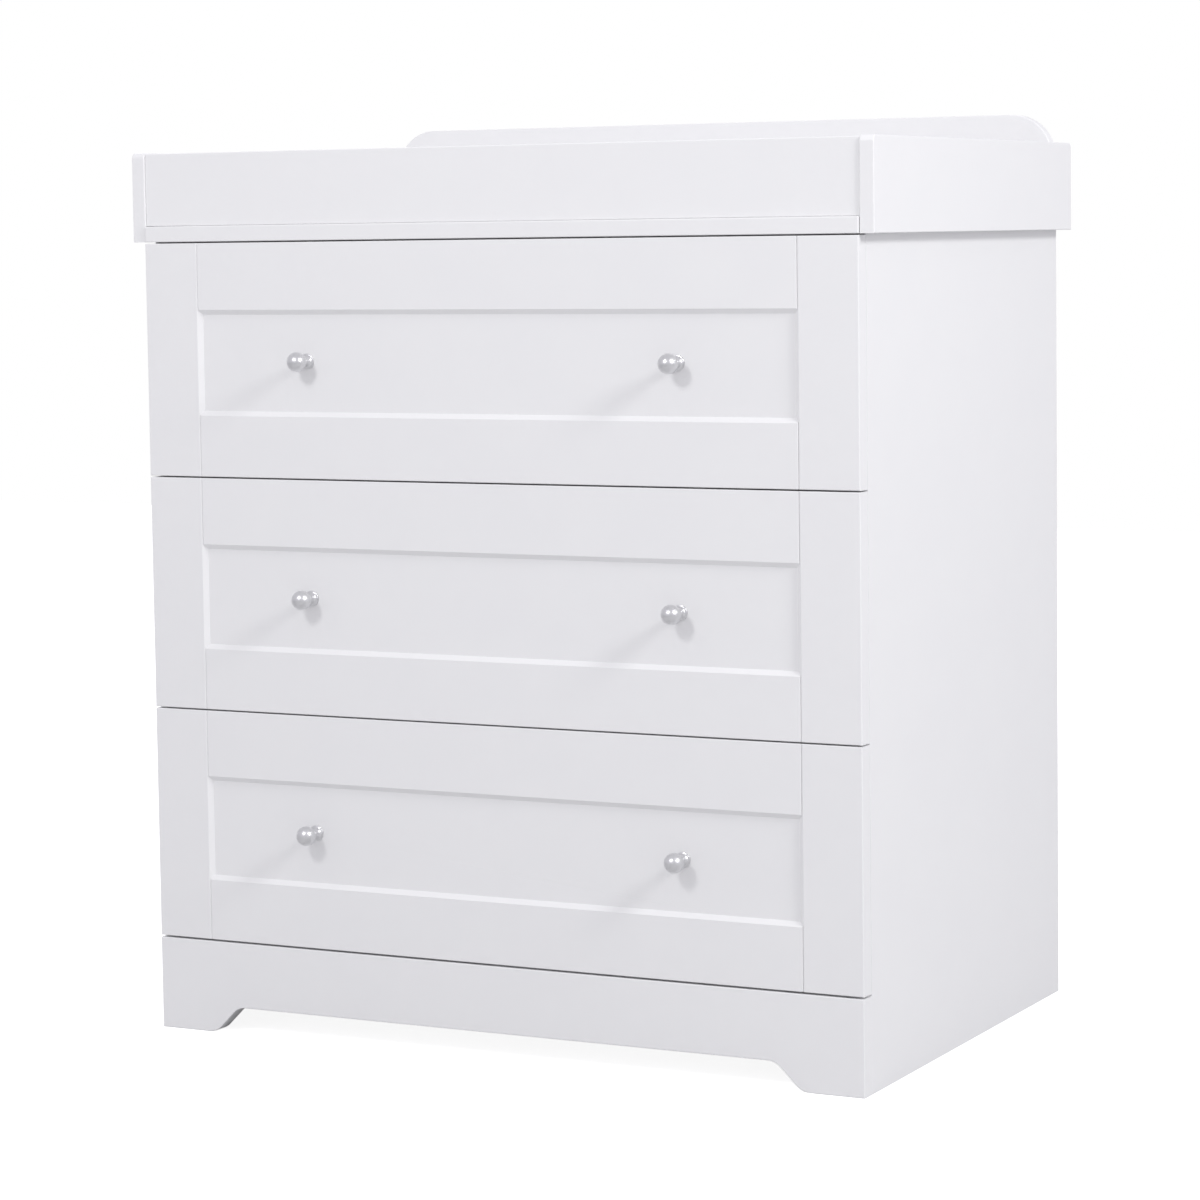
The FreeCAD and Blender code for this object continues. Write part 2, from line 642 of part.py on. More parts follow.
TRAY_WIDTH = "2 * (%s)" % TRAY_INNER
TRAY_FRONT_Y = "tray_front_end + tray_front_inset"
TRAY_BACK_Y = "chest_depth + tray_seat_gap - tray_board"
tray_front = keep(board("changer_front_board", ("-(%s)" % TRAY_INNER, TRAY_FRONT_Y, TRAY_SEAT),
                        (TRAY_WIDTH, "tray_board", "tray_front_height")))
dress(tray_front, "Fillet", {"Radius": "front_rounding"},
      lambda edge: runs_along(edge, 0) or at_depth(edge, 0.0))
tray_back = extruded("changer_back_board", ("-(%s)" % TRAY_INNER, TRAY_BACK_Y, TRAY_SEAT), "XZ_Plane",
                     rectangle(TRAY_WIDTH, "tray_back_height"), "tray_board")
dress(tray_back, "Fillet", {"Radius": "back_corner_radius"},
      lambda edge: runs_along(edge, 1) and off_bottom(edge))
dress(tray_back, "Fillet", {"Radius": "tray_edge_rounding"},
      lambda edge: edge.BoundBox.ZMax > SIZES["tray_back_height"] - SIZES["back_corner_radius"] + CLOSE and
      (at_depth(edge, 0.0) or at_depth(edge, SIZES["tray_board"])))
keep(tray_back)

tray_dowels = []
for side, sign in SIDES:
    start = ("-(%s) - dowel_short_end" % TRAY_INNER if sign < 0
             else "%s - dowel_length + dowel_short_end" % TRAY_INNER)
    for item, depth in ((tray_front, TRAY_FRONT_Y), (tray_back, TRAY_BACK_Y)):
        for height in ("tray_dowel_low", "tray_dowel_high"):
            point = (start, "%s + tray_board / 2" % depth, "%s + %s" % (TRAY_SEAT, height))
            for board_item in (tray_sides[sign], item):
                drill(board_item, point, "X", "dowel_radius", "dowel_length")
            tray_dowels.append(rod("tray_dowel_%d" % len(tray_dowels), point, "X", "dowel_radius",
                                   "dowel_length"))
group("changer_dowels", tray_dowels)

plates = []
plate_screws = []
for side, sign in SIDES:
    centre = "%d * plate_spacing / 2" % sign
    back_face = "chest_depth + tray_seat_gap"
    plate_bottom = "%s - plate_overlap" % TRAY_SEAT
    plate = board("locating_plate_" + side,
                  ("%s - plate_width / 2" % centre, back_face, plate_bottom),
                  ("plate_width", "plate_thickness", "plate_length"))
    dress(plate, "Fillet", {"Radius": "plate_corner_radius"}, lambda edge: runs_along(edge, 1))
    for height in ("plate_screw_low", "plate_screw_high"):
        point = (centre, back_face + " + plate_thickness", "%s + %s" % (TRAY_SEAT, height))
        start = (centre, "%s - plate_screw_depth" % point[1], point[2])
        for item in (plate, tray_back):
            drill(item, start, "Y", "plate_screw_radius", "plate_screw_depth")
        plate_screws.append(screw("plate_screw_%d" % len(plate_screws), point, "plate_screw_radius",
                                  "plate_screw_depth", "plate_screw_head_radius",
                                  "plate_screw_head_height"))
    plates.append(plate)
group("changer_locating_plates", plates)
group("changer_plate_screws", plate_screws)

# ------------------------------------------------------------------ checks and export
doc.recompute()
for item in doc.Objects:
    if "Invalid" in item.State or "Error" in item.State:
        raise RuntimeError("%s failed: %s" % (item.Label, item.State))
for feature in cuts:
    if feature.Shape.Volume > feature.BaseFeature.Shape.Volume - LEAST_CUT:
        raise RuntimeError(feature.Label + " cuts nothing")
for label, item in nodes.items():
    if item.Shape.isNull() or not item.Shape.isValid():
        raise RuntimeError(label + " has no valid shape")

whole = FreeCAD.BoundBox()
for label, item in nodes.items():
    whole.add(item.Shape.optimalBoundingBox())
    item.Shape.exportStep("parts/%s.step" % label)
print("%d nodes" % len(nodes))
print("X %.2f to %.2f, Y %.2f to %.2f, Z %.2f to %.2f"
      % (whole.XMin, whole.XMax, whole.YMin, whole.YMax, whole.ZMin, whole.ZMax))
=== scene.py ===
# %% [markdown]
# # A changing table: three drawers and a tray that lifts off
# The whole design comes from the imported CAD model: every board, runner and fastener is already at its
# real size and place. Blender adds what CAD leaves plain: paint, foil, fibreboard and metal, turned
# knobs, cross recesses in the screws, and the balls inside the runners.
# The frame is loaded first, because every other piece takes its place from it.

# %% Load the frame
import math

import bmesh
import bpy
from mathutils import Matrix, Vector


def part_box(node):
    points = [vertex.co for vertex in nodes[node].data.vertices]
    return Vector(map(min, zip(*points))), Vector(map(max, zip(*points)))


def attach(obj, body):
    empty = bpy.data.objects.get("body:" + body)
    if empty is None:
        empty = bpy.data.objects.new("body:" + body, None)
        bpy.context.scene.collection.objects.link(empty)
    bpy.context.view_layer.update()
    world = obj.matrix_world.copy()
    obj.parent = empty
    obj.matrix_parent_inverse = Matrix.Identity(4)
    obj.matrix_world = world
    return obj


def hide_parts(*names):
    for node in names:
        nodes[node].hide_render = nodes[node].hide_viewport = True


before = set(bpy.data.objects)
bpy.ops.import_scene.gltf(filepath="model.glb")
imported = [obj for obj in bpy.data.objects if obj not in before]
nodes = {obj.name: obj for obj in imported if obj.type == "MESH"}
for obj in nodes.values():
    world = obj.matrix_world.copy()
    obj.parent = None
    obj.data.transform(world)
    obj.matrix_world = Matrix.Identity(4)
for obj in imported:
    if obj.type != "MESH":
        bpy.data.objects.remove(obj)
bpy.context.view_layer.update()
DRAWERS = (1, 2, 3)
SIDES = (("left", -1), ("right", 1))
MM = 0.001

# %% [markdown]
# ## The camera
# Furniture is photographed from a few metres away with a long lens, so that its uprights stay nearly
# parallel. The camera stands at the height of the changing surface, in front of the right corner. A small
# downward shift of the lens keeps more of the floor in the frame than of the wall.

# %% Camera
CAMERA_PLACE = Vector((1.739, -3.4255, 0.830))
CAMERA_YAW = math.radians(27.02)
CAMERA_TILT = math.radians(90 - 4.65)
CAMERA_ROLL = math.radians(-0.78)
LENS = 109.5
LENS_SHIFT = -0.0606


def make_camera():
    data = bpy.data.cameras.new("studio_camera")
    data.sensor_width = 36
    data.lens = LENS
    data.shift_y = LENS_SHIFT
    camera = bpy.data.objects.new("studio_camera", data)
    bpy.context.scene.collection.objects.link(camera)
    turn = Matrix.Rotation(CAMERA_YAW, 4, "Z") @ Matrix.Rotation(CAMERA_TILT, 4, "X")
    turn = turn @ Matrix.Rotation(CAMERA_ROLL, 4, "Z")
    camera.matrix_world = Matrix.Translation(CAMERA_PLACE) @ turn
    bpy.context.scene.camera = camera
    return camera


camera = make_camera()
print("camera at", [round(x, 2) for x in camera.location])

# %% [markdown]
# ## Studio light
# White paint shows its shape only by small steps of grey, so the light does all the work. A small key
# light high in front throws the short shadows beside the knobs. A stronger one stands far to the
# right: it falls full on the end of the chest, which is therefore brighter than the front, and it
# grazes the front, which draws the bevels. A broad light behind opens up the back.

# %% Lights
bpy.context.scene.view_settings.view_transform = "Standard"
TARGET = Vector((0, -0.2, 0.5))


def area_light(name, place, size, watts, colour=(1, 1, 1), target=TARGET):
    """A round soft light that faces a point of the chest and that the camera doesn't see."""
    data = bpy.data.lights.new(name, "AREA")
    data.shape = "DISK"
    data.size = size
    data.energy = watts
    data.color = colour
    light = bpy.data.objects.new(name, data)
    light.location = place
    light.rotation_euler = (target - Vector(place)).to_track_quat("-Z", "Y").to_euler()
    light.visible_camera = False
    bpy.context.scene.collection.objects.link(light)
    return light


area_light("key_light", (-0.25, -2.45, 2.0), 0.5, 16)
area_light("grazing_light", (2.83, -0.97, 2.21), 0.8, 43)
area_light("rear_light", (-2.2, 3.0, 2.2), 2.0, 26)
print("lights:", len(bpy.data.lights))

# %% [markdown]
# The walls of the studio are the world: a pale, slightly cool white that lights every shadow. The
# camera itself sees plain white there, as in a picture cut out for a catalogue.

# %% World
ROOM_LIGHT = (0.70, 0.693, 0.735, 1)


def make_world():
    world = bpy.data.worlds.new("studio_room")
    world.use_nodes = True
    tree = world.node_tree
    room = tree.nodes["Background"]
    room.inputs["Color"].default_value = ROOM_LIGHT
    paper = tree.nodes.new("ShaderNodeBackground")
    mix = tree.nodes.new("ShaderNodeMixShader")
    path = tree.nodes.new("ShaderNodeLightPath")
    tree.links.new(path.outputs["Is Camera Ray"], mix.inputs[0])
    tree.links.new(room.outputs[0], mix.inputs[1])
    tree.links.new(paper.outputs[0], mix.inputs[2])
    paper.inputs["Color"].default_value = (1, 1, 1, 1)
    tree.links.new(mix.outputs[0], tree.nodes["World Output"].inputs["Surface"])
    bpy.context.scene.world = world


make_world()

# %% [markdown]
# ## A way to write node trees
# Materials and Geometry Nodes are both small calculations. Writing them as Python expressions keeps
# them readable: `Wire` stands for one value in a tree, and every sum or product of wires adds the
# Math node that works it out. `Graph` has the one method that adds any other node.

# %% Node helpers
class Wire:
    """One value of a node tree, which Python arithmetic can carry on."""

    def __init__(self, graph, socket):
        self.graph = graph
        self.socket = socket

    def __add__(self, other):
        return self.graph.maths("ADD", self, other)

    def __sub__(self, other):
        return self.graph.maths("SUBTRACT", self, other)

    def __mul__(self, other):
        return self.graph.maths("MULTIPLY", self, other)

    def __truediv__(self, other):
        return self.graph.maths("DIVIDE", self, other)

    def __mod__(self, other):
        return self.graph.maths("MODULO", self, other)

    def __rsub__(self, other):
        return self.graph.maths("SUBTRACT", other, self)

    __radd__ = __add__
    __rmul__ = __mul__


class Graph:
    """A node tree being built. The maths nodes are the same for materials and for geometry."""

    prefix = "ShaderNode"
    shared = ("Math", "CombineXYZ", "SeparateXYZ")

    def node(self, kind, settings=None, inputs=None, output=0):
        prefix = "ShaderNode" if kind in self.shared else self.prefix
        node = self.tree.nodes.new(prefix + kind)
        for key, value in (settings or {}).items():
            setattr(node, key, value)
        for key, value in (inputs or {}).items():
            self.feed(node.inputs[key], value)
        return Wire(self, node.outputs[output])

    def feed(self, socket, value):
        if isinstance(value, Wire):
            self.tree.links.new(value.socket, socket)
        else:
            socket.default_value = value

    def maths(self, operation, first, second=0.0):
        return self.node("Math", {"operation": operation}, {0: first, 1: second})


print("node helpers ready")

# %% [markdown]
# A finish is a material. Its patterns are placed by object coordinates, which are real metres here,
# so every size in a finish can be given as it would be measured on the piece.

# %% Finish helper
class Finish(Graph):
    """A material being built, with its surface shader and the patterns that finishes are made of."""

    def __init__(self, name, **constants):
        self.material = bpy.data.materials.new(name)
        self.material.use_nodes = True
        self.tree = self.material.node_tree
        self.shader = self.tree.nodes["Principled BSDF"]
        for socket, value in constants.items():
            self.shader.inputs[socket.replace("_", " ")].default_value = value

    def place(self):
        return self.node("TexCoord", output="Object")

    def axis(self, name):
        return self.node("SeparateXYZ", inputs={0: self.place()}, output=name)

    def facing(self, name):
        """How far the surface faces along an axis, from -1 to 1."""
        normal = self.node("NewGeometry", output="Normal")
        return self.node("SeparateXYZ", inputs={0: normal}, output=name)

    def stretched(self, scale):
        return self.node("Mapping", inputs={"Vector": self.place(), "Scale": scale})

    def noise(self, size, detail=2.0, vector=None, roughness=0.5):
        """Noise whose lumps are about `size` metres across, from 0 to 1."""
        inputs = {"Vector": vector or self.place(), "Scale": 1 / size, "Detail": detail}
        return self.node("TexNoise", inputs={**inputs, "Roughness": roughness})

    def between(self, value, low, high):
        """0 below `low`, 1 above `high` and smooth between them."""
        return self.node("MapRange", {"interpolation_type": "SMOOTHSTEP"},
                         {"Value": value, "From Min": low, "From Max": high})

    def colours(self, mask, first, second):
        return self.node("Mix", {"data_type": "RGBA"}, {0: mask, 6: first, 7: second}, output=2)

    def bump(self, height, metres, under=None):
        """Relief of the given depth; `under` is a coarser relief that it rides on."""
        inputs = {"Height": height, "Distance": metres, "Strength": 1.0}
        if under:
            inputs["Normal"] = under
        return self.node("Bump", inputs=inputs)

    def set(self, **inputs):
        for socket, value in inputs.items():
            self.feed(self.shader.inputs[socket.replace("_", " ")], value)
        return self.material


def grey(value, blue=0.0):
    return (value, value, value + blue, 1)


print("finish helper ready")

# %% [markdown]
# ## White lacquer
# Sprayed lacquer is never quite flat. It dries with a fine skin like orange peel, about a
# millimetre from lump to lump, over a much slower swell left by sanding. Its gloss changes a little
# with how thick it went on. All three are noise at a real size, so the paint stays right in a
# close view and only softens the reflections from across a room.

# %% Lacquer
PEEL_SIZE = 1.3 * MM
SWELL_SIZE = 60 * MM
SWELL_TO_PEEL = 20


def lacquer(name, white, gloss, peel, grain=0.0):
    """Satin white lacquer; `peel` is the depth of its skin and `grain` that of fibres under it."""
    finish = Finish(name, IOR=1.5)
    film = finish.noise(SWELL_SIZE, 3.0)
    skin = finish.noise(PEEL_SIZE, 1.0)
    swell = finish.bump(film, SWELL_TO_PEEL * peel)
    relief = finish.bump(skin, peel, swell)
    if grain:
        fibres = finish.noise(0.5 * MM, 2.0, finish.stretched((0.03, 1, 1)))
        relief = finish.bump(fibres, grain, relief)
    tint = finish.colours(finish.between(film, 0.3, 0.7), grey(white - 0.006, 0.005), grey(white, 0.003))
    rough = 0.5 - gloss + 0.08 * film + 0.04 * skin
    return finish.set(Base_Color=tint, Roughness=rough, Normal=relief)


finishes = {
    "chest_paint": lacquer("chest_lacquer", 0.835, 0.12, 4e-6),
    "front_paint": lacquer("drawer_front_lacquer", 0.83, 0.14, 5e-6, grain=4e-6),
    "tray_paint": lacquer("tray_lacquer", 0.84, 0.12, 5e-6),
}
print("lacquers:", sorted(finishes))

# %% [markdown]
# ## Foil on the drawer boxes
# Drawer boxes are cut from board that comes already wrapped in a printed foil. It is matt, slightly
# greyer than the lacquer, and embossed with a weave so fine that it only shows as a dull sheen.

# %% Foil
def foil():
    finish = Finish("drawer_box_foil", IOR=1.45)
    cloud = finish.noise(45 * MM, 3.0)
    thread = finish.noise(0.7 * MM, 1.0, finish.stretched((1, 0.12, 1)))
    cross = finish.noise(0.7 * MM, 1.0, finish.stretched((1, 1, 0.12)))
    weave = thread * cross
    tint = finish.colours(cloud, grey(0.77, 0.0), grey(0.80, 0.004))
    return finish.set(Base_Color=tint, Roughness=0.52 + 0.12 * weave, Normal=finish.bump(weave, 12e-6))


finishes["drawer_box"] = foil()

# %% [markdown]
# ## Fibreboard backs and floors
# Thin fibreboard is painted on its good face only. The other face keeps the colour of the pressed
# fibres, from light tan to brown flecks, with the print of the wire mesh that it was pressed on. The face
# is told from the back by which way the surface points: the drawer floors show white on top, and
# the chest's back panel shows white towards the front.

# %% Fibreboard
MESH_STEP = 2.2 * MM


def fibreboard(name, raw_axis, raw_sign):
    """Painted on one face; the raw face is the one that looks along the axis, by its sign."""
    finish = Finish(name, IOR=1.45)
    raw = finish.between(finish.facing(raw_axis) * raw_sign, 0.2, 0.8)
    fleck = finish.noise(1.4 * MM, 4.0, finish.stretched((0.35, 1, 1)), roughness=0.7)
    cloud = finish.noise(80 * MM, 3.0)
    flecks = finish.between(fleck, 0.3, 0.75)
    brown = finish.colours(flecks, (0.16, 0.085, 0.042, 1), (0.36, 0.22, 0.125, 1))
    brown = finish.colours(cloud, brown, (0.31, 0.185, 0.10, 1))
    tint = finish.colours(raw, grey(0.79, 0.002), brown)
    print_x = finish.maths("SINE", finish.axis("X") * (math.tau / MESH_STEP))
    other = "Z" if raw_axis == "Y" else "Y"
    print_y = finish.maths("SINE", finish.axis(other) * (math.tau / MESH_STEP))
    mesh = print_x * print_y * raw
    relief = finish.bump(mesh, 90e-6)
    relief = finish.bump(fleck * (0.25 + raw), 30e-6, relief)
    return finish.set(Base_Color=tint, Roughness=0.42 + 0.35 * raw, Normal=relief)


finishes["hardboard"] = fibreboard("back_panel_fibreboard", "Y", 1)
floor_board = fibreboard("drawer_floor_fibreboard", "Z", -1)

# %% [markdown]
# ## Metals
# The knobs are satin plated: a soft grey mirror. Runner steel is zinc plated after rolling, so
# fine lines run along it, from front to back. The cams are die cast, and cast zinc is dull and
# cloudy.

# %% Metals
def satin_plating():
    finish = Finish("satin_silver_plating", Metallic=1.0)
    cloud = finish.noise(4 * MM, 3.0)
    polish = finish.noise(0.25 * MM, 2.0, finish.stretched((1, 0.2, 1)))
    tint = finish.colours(cloud, (0.68, 0.68, 0.69, 1), (0.76, 0.76, 0.77, 1))
    return finish.set(Base_Color=tint, Roughness=0.31 + 0.06 * polish, Normal=finish.bump(polish, 1.5e-6))


def runner_zinc():
    finish = Finish("rolled_zinc_steel", Metallic=1.0)
    lines = finish.noise(0.35 * MM, 3.0, finish.stretched((1, 0.01, 1)))
    spangle = finish.noise(9 * MM, 2.0)
    tint = finish.colours(spangle, (0.58, 0.59, 0.61, 1), (0.70, 0.71, 0.72, 1))
    rough = 0.26 + 0.14 * lines + 0.08 * spangle
    return finish.set(Base_Color=tint, Roughness=rough, Normal=finish.bump(lines, 4e-6))


def cast_zinc():
    finish = Finish("cast_zinc", Metallic=1.0)
    cloud = finish.noise(2.5 * MM, 4.0, roughness=0.65)
    tint = finish.colours(cloud, (0.46, 0.465, 0.47, 1), (0.66, 0.665, 0.67, 1))
    return finish.set(Base_Color=tint, Roughness=0.32 + 0.2 * cloud, Normal=finish.bump(cloud, 12e-6))


finishes["knob_metal"] = satin_plating()
finishes["runner_steel"] = runner_zinc()
finishes["zinc_fittings"] = cast_zinc()

# %% [markdown]
# ## Beech dowels
# Dowels are beech, pale and slightly pink, with short dark flecks along the grain, which is drawn
# along X. They lie inside the joints, and are seen only when the table is taken apart.

# %% Beech
def beech():
    finish = Finish("bare_beech", IOR=1.45)
    rings = finish.noise(1.1 * MM, 2.0, finish.stretched((0.06, 1, 1)))
    fleck = finish.noise(0.5 * MM, 1.0, finish.stretched((0.15, 1, 1)))
    tint = finish.colours(rings, (0.60, 0.41, 0.25, 1), (0.74, 0.55, 0.36, 1))
    tint = finish.colours(finish.between(fleck, 0.62, 0.75), tint, (0.38, 0.21, 0.11, 1))
    return finish.set(Base_Color=tint, Roughness=0.6 + 0.1 * fleck, Normal=finish.bump(rings, 20e-6))


finishes["dowel_beech"] = beech()

# %% [markdown]
# ## Dress the CAD parts
# Each CAD part already carries the name of its material slot, so dressing it is one lookup. The
# part itself is left alone: only the material in its slot changes.

# %% Assign finishes
for name, part in nodes.items():
    for place in part.material_slots:
        place.material = floor_board if name.endswith("box_floor") else finishes[place.material.name]
print("dressed:", len(nodes))

# %% [markdown]
# ## A lathe and a way to set out rows
# Knobs, screws, cams and balls are all turned on a lathe, so one Geometry Nodes tree turns any
# profile about Z. Its trick is counting: a grid has one row of points for each profile point and
# one column for each step around, so a point's index alone says where it belongs. A second tree
# sets copies of a piece out in rows. Spin and Array modifiers could do the same, but a tree keeps
# its sizes as named inputs.

# %% Geometry helper
class Recipe(Graph):
    """A Geometry Nodes tree being built, with named inputs, and a way to run it on a mesh."""

    prefix = "GeometryNode"

    def __init__(self, name, **inputs):
        self.tree = bpy.data.node_groups.new(name, "GeometryNodeTree")
        self.sockets = {}
        for label, kind in inputs.items():
            item = self.tree.interface.new_socket(label, in_out="INPUT", socket_type="NodeSocket" + kind)
            self.sockets[label] = item.identifier
        self.tree.interface.new_socket("Geometry", in_out="OUTPUT", socket_type="NodeSocketGeometry")
        self.given = self.tree.nodes.new("NodeGroupInput")
        self.result = self.tree.nodes.new("NodeGroupOutput")

    def ask(self, label):
        return Wire(self, self.given.outputs[label])

    def end(self, geometry, finish):
        """Every tree ends in real mesh with its finish on."""
        real = self.node("RealizeInstances", inputs={"Geometry": geometry})
        done = self.node("SetMaterial", inputs={"Geometry": real, "Material": finish})
        self.feed(self.result.inputs[0], done)
        return self

    def run(self, mesh, **values):
        bench = bpy.data.objects.new("bench", mesh)
        bpy.context.scene.collection.objects.link(bench)
        modifier = bench.modifiers.new("recipe", "NODES")
        modifier.node_group = self.tree
        for label, value in values.items():
            modifier[self.sockets[label]] = value
        view = bpy.context.evaluated_depsgraph_get()
        made = bpy.data.meshes.new_from_object(bench.evaluated_get(view), depsgraph=view)
        bpy.data.objects.remove(bench)
        return made


def lathe_recipe():
    lathe = Recipe("lathe", Profile="Geometry", Around="Int", Finish="Material")
    profile = lathe.ask("Profile")
    around = lathe.ask("Around")
    count = lathe.node("AttributeDomainSize", inputs={0: profile})
    grid = lathe.node("MeshGrid", inputs={"Vertices X": around + 1, "Vertices Y": count})
    index = lathe.node("InputIndex")
    here = lathe.node("SampleIndex", {"data_type": "FLOAT_VECTOR"},
                      {0: profile, "Value": lathe.node("InputPosition"), "Index": index % count})
    radius = lathe.node("SeparateXYZ", inputs={0: here}, output="X")
    height = lathe.node("SeparateXYZ", inputs={0: here}, output="Z")
    turn = lathe.maths("FLOOR", index / count) * math.tau / around
    place = lathe.node("CombineXYZ", inputs={
        0: radius * lathe.maths("COSINE", turn), 1: radius * lathe.maths("SINE", turn), 2: height})
    skin = lathe.node("SetPosition", inputs={"Geometry": grid, "Position": place})
    skin = lathe.node("MergeByDistance", inputs={"Geometry": skin, "Distance": 0.002 * MM})
    skin = lathe.node("SetShadeSmooth", inputs={"Geometry": skin})
    return lathe.end(skin, lathe.ask("Finish"))


def rows_recipe():
    rows = Recipe("rows_of_copies", Piece="Geometry", Start="Vector", Count="Int", Step="Vector",
                  Rows="Int", Row_Step="Vector", Turn="Vector", Finish="Material")
    line = rows.node("MeshLine", inputs={
        "Count": rows.ask("Count"), "Start Location": rows.ask("Start"), "Offset": rows.ask("Step")})
    across = rows.node("MeshLine", inputs={"Count": rows.ask("Rows"), "Offset": rows.ask("Row_Step")})
    places = rows.node("InstanceOnPoints", inputs={"Points": across, "Instance": line})
    places = rows.node("RealizeInstances", inputs={"Geometry": places})
    copies = rows.node("InstanceOnPoints", inputs={
        "Points": places, "Instance": rows.ask("Piece"), "Rotation": rows.ask("Turn")})
    return rows.end(copies, rows.ask("Finish"))


lathe = lathe_recipe()
rows = rows_recipe()
print("trees:", [tree.name for tree in bpy.data.node_groups])

# %% [markdown]
# A profile is a chain of points, radius and height in millimetres. Only its shape's own points are
# written down: `arc` fills in each round stretch from its centre, radius and angles.

# %% Profile helpers
def arc(centre, radius, start, end, steps):
    """Points of a circular arc in a profile, with its angles in degrees."""
    turns = [math.radians(start + (end - start) * n / steps) for n in range(steps + 1)]
    return [(centre[0] + radius * math.cos(t), centre[1] + radius * math.sin(t)) for t in turns]


def turned(points, around, finish):
    """Turn a profile of (radius, height) in millimetres about Z."""
    chain = bpy.data.meshes.new("profile")
    chain.from_pydata([(radius * MM, 0, height * MM) for radius, height in points], [], [])
    return lathe.run(chain, Around=around, Finish=finish)


def set_out(piece, finish, start, step, count, row_step=(0, 0, 0), row_count=1, turn=(0, 0, 0)):
    """Copies of a piece in rows: `count` of them along `step`, `row_count` rows along `row_step`."""
    return rows.run(piece, Start=tuple(start), Count=count, Step=step, Rows=row_count,
                    Row_Step=row_step, Turn=turn, Finish=finish)


def fitted(name, body, slot, meshes, *stands_for):
    """Join meshes into one piece of the object, in its slot's finish, riding on a body."""
    joined = bmesh.new()
    for mesh in meshes:
        joined.from_mesh(mesh)
    for face in joined.faces:
        face.material_index = 0
    whole = bpy.data.meshes.new(name)
    joined.to_mesh(whole)
    joined.free()
    whole.materials.append(finishes[slot])
    whole.set_sharp_from_angle(angle=SHARP)
    piece = bpy.data.objects.new(name, whole)
    bpy.context.scene.collection.objects.link(piece)
    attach(piece, body)
    if stands_for:
        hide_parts(*stands_for)
    return piece


SHARP = math.radians(32)
TO_FRONT = (math.pi / 2, 0, 0)
TO_REAR = (-math.pi / 2, 0, 0)
DOWNWARDS = (math.pi, 0, 0)
print("profile of a ball:", len(arc((0, 0), 1, -90, 90, 6)), "points")

# %% [markdown]
# ## Knobs
# Each knob is turned from one bar: a thin foot, a hollow sweep up to the neck, and a ball that
# grows out of the neck with a small hollow corner. The hollow corner matters, because light gathers
# in it and shows that the knob is one piece. The two knobs of a drawer move with it, so they are one
# mesh on the drawer's body.

# %% Turn the knobs
KNOB_FOOT = 8.0
KNOB_RIM = 1.5
KNOB_EDGE = 0.35
KNOB_NECK = 4.5
KNOB_SWEEP = 8.0
KNOB_BALL = 10.0
KNOB_CENTRE = 21.0
KNOB_CORNER = 1.2
KNOB_AROUND = 72


def knob_profile():
    shoulder = KNOB_FOOT - KNOB_EDGE
    foot = [(0, 0)] + arc((shoulder, KNOB_EDGE), KNOB_EDGE, -90, 0, 3)
    foot += arc((shoulder, KNOB_RIM - KNOB_EDGE), KNOB_EDGE, 0, 90, 3)
    turns = [math.pi / 2 * n / 12 for n in range(1, 13)]
    inward = shoulder - KNOB_NECK
    rise = KNOB_SWEEP - KNOB_RIM
    sweep = [(shoulder - inward * math.sin(t), KNOB_RIM + rise * (1 - math.cos(t))) for t in turns]
    reach = KNOB_BALL + KNOB_CORNER
    tilt = math.degrees(math.acos((KNOB_NECK + KNOB_CORNER) / reach))
    hollow = (KNOB_NECK + KNOB_CORNER, KNOB_CENTRE - reach * math.sin(math.radians(tilt)))
    corner = arc(hollow, KNOB_CORNER, 180, 180 - tilt, 5)
    ball = arc((0, KNOB_CENTRE), KNOB_BALL, -tilt, 90, 26)
    return foot + sweep + corner + ball[1:]


def make_knobs():
    finish = finishes["knob_metal"]
    knob = turned(knob_profile(), KNOB_AROUND, finish)
    for number in DRAWERS:
        node = "drawer_%d_knobs" % number
        low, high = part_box(node)
        ball = (high.z - low.z) / 2
        spread = high.x - low.x - 2 * ball
        start = (low.x + ball, high.y, low.z + ball)
        pair = set_out(knob, finish, start, (spread, 0, 0), 2, turn=TO_FRONT)
        fitted("drawer_%d_turned_knobs" % number, "drawer_%d" % number, "knob_metal", [pair], node)
    return len(knob.polygons)


print("faces in a knob:", make_knobs())

# %% [markdown]
# ## Screws with a cross recess
# A screw head is turned like a knob, and its recess is then cut with two crossed wedges, as the
# punch does it in the factory. A Boolean modifier does the cutting. The thread would be hidden in
# the wood, so the shank stays smooth.

# %% Screw helpers
MOUTH = 1.0
SCREW_EDGE = 0.3
SCREW_TIP = 0.6
RECESS_ARM = 1.15
RECESS_WIDTH = 0.24
RECESS_DEPTH = 0.62


def wedge(length, width, depth, top, taper=0.45):
    """A cutter whose mouth is `top` above the origin and whose floor is shorter than its mouth."""
    cutter = bmesh.new()
    bmesh.ops.create_cube(cutter, size=1)
    for corner in cutter.verts:
        deep = corner.co.z < 0
        corner.co.x *= length * (taper if deep else 1)
        corner.co.y *= width * (0.8 if deep else 1)
        corner.co.z = -depth if deep else top
    bmesh.ops.scale(cutter, vec=(MM, MM, MM), verts=cutter.verts)
    mesh = bpy.data.meshes.new("wedge")
    cutter.to_mesh(mesh)
    cutter.free()
    return mesh


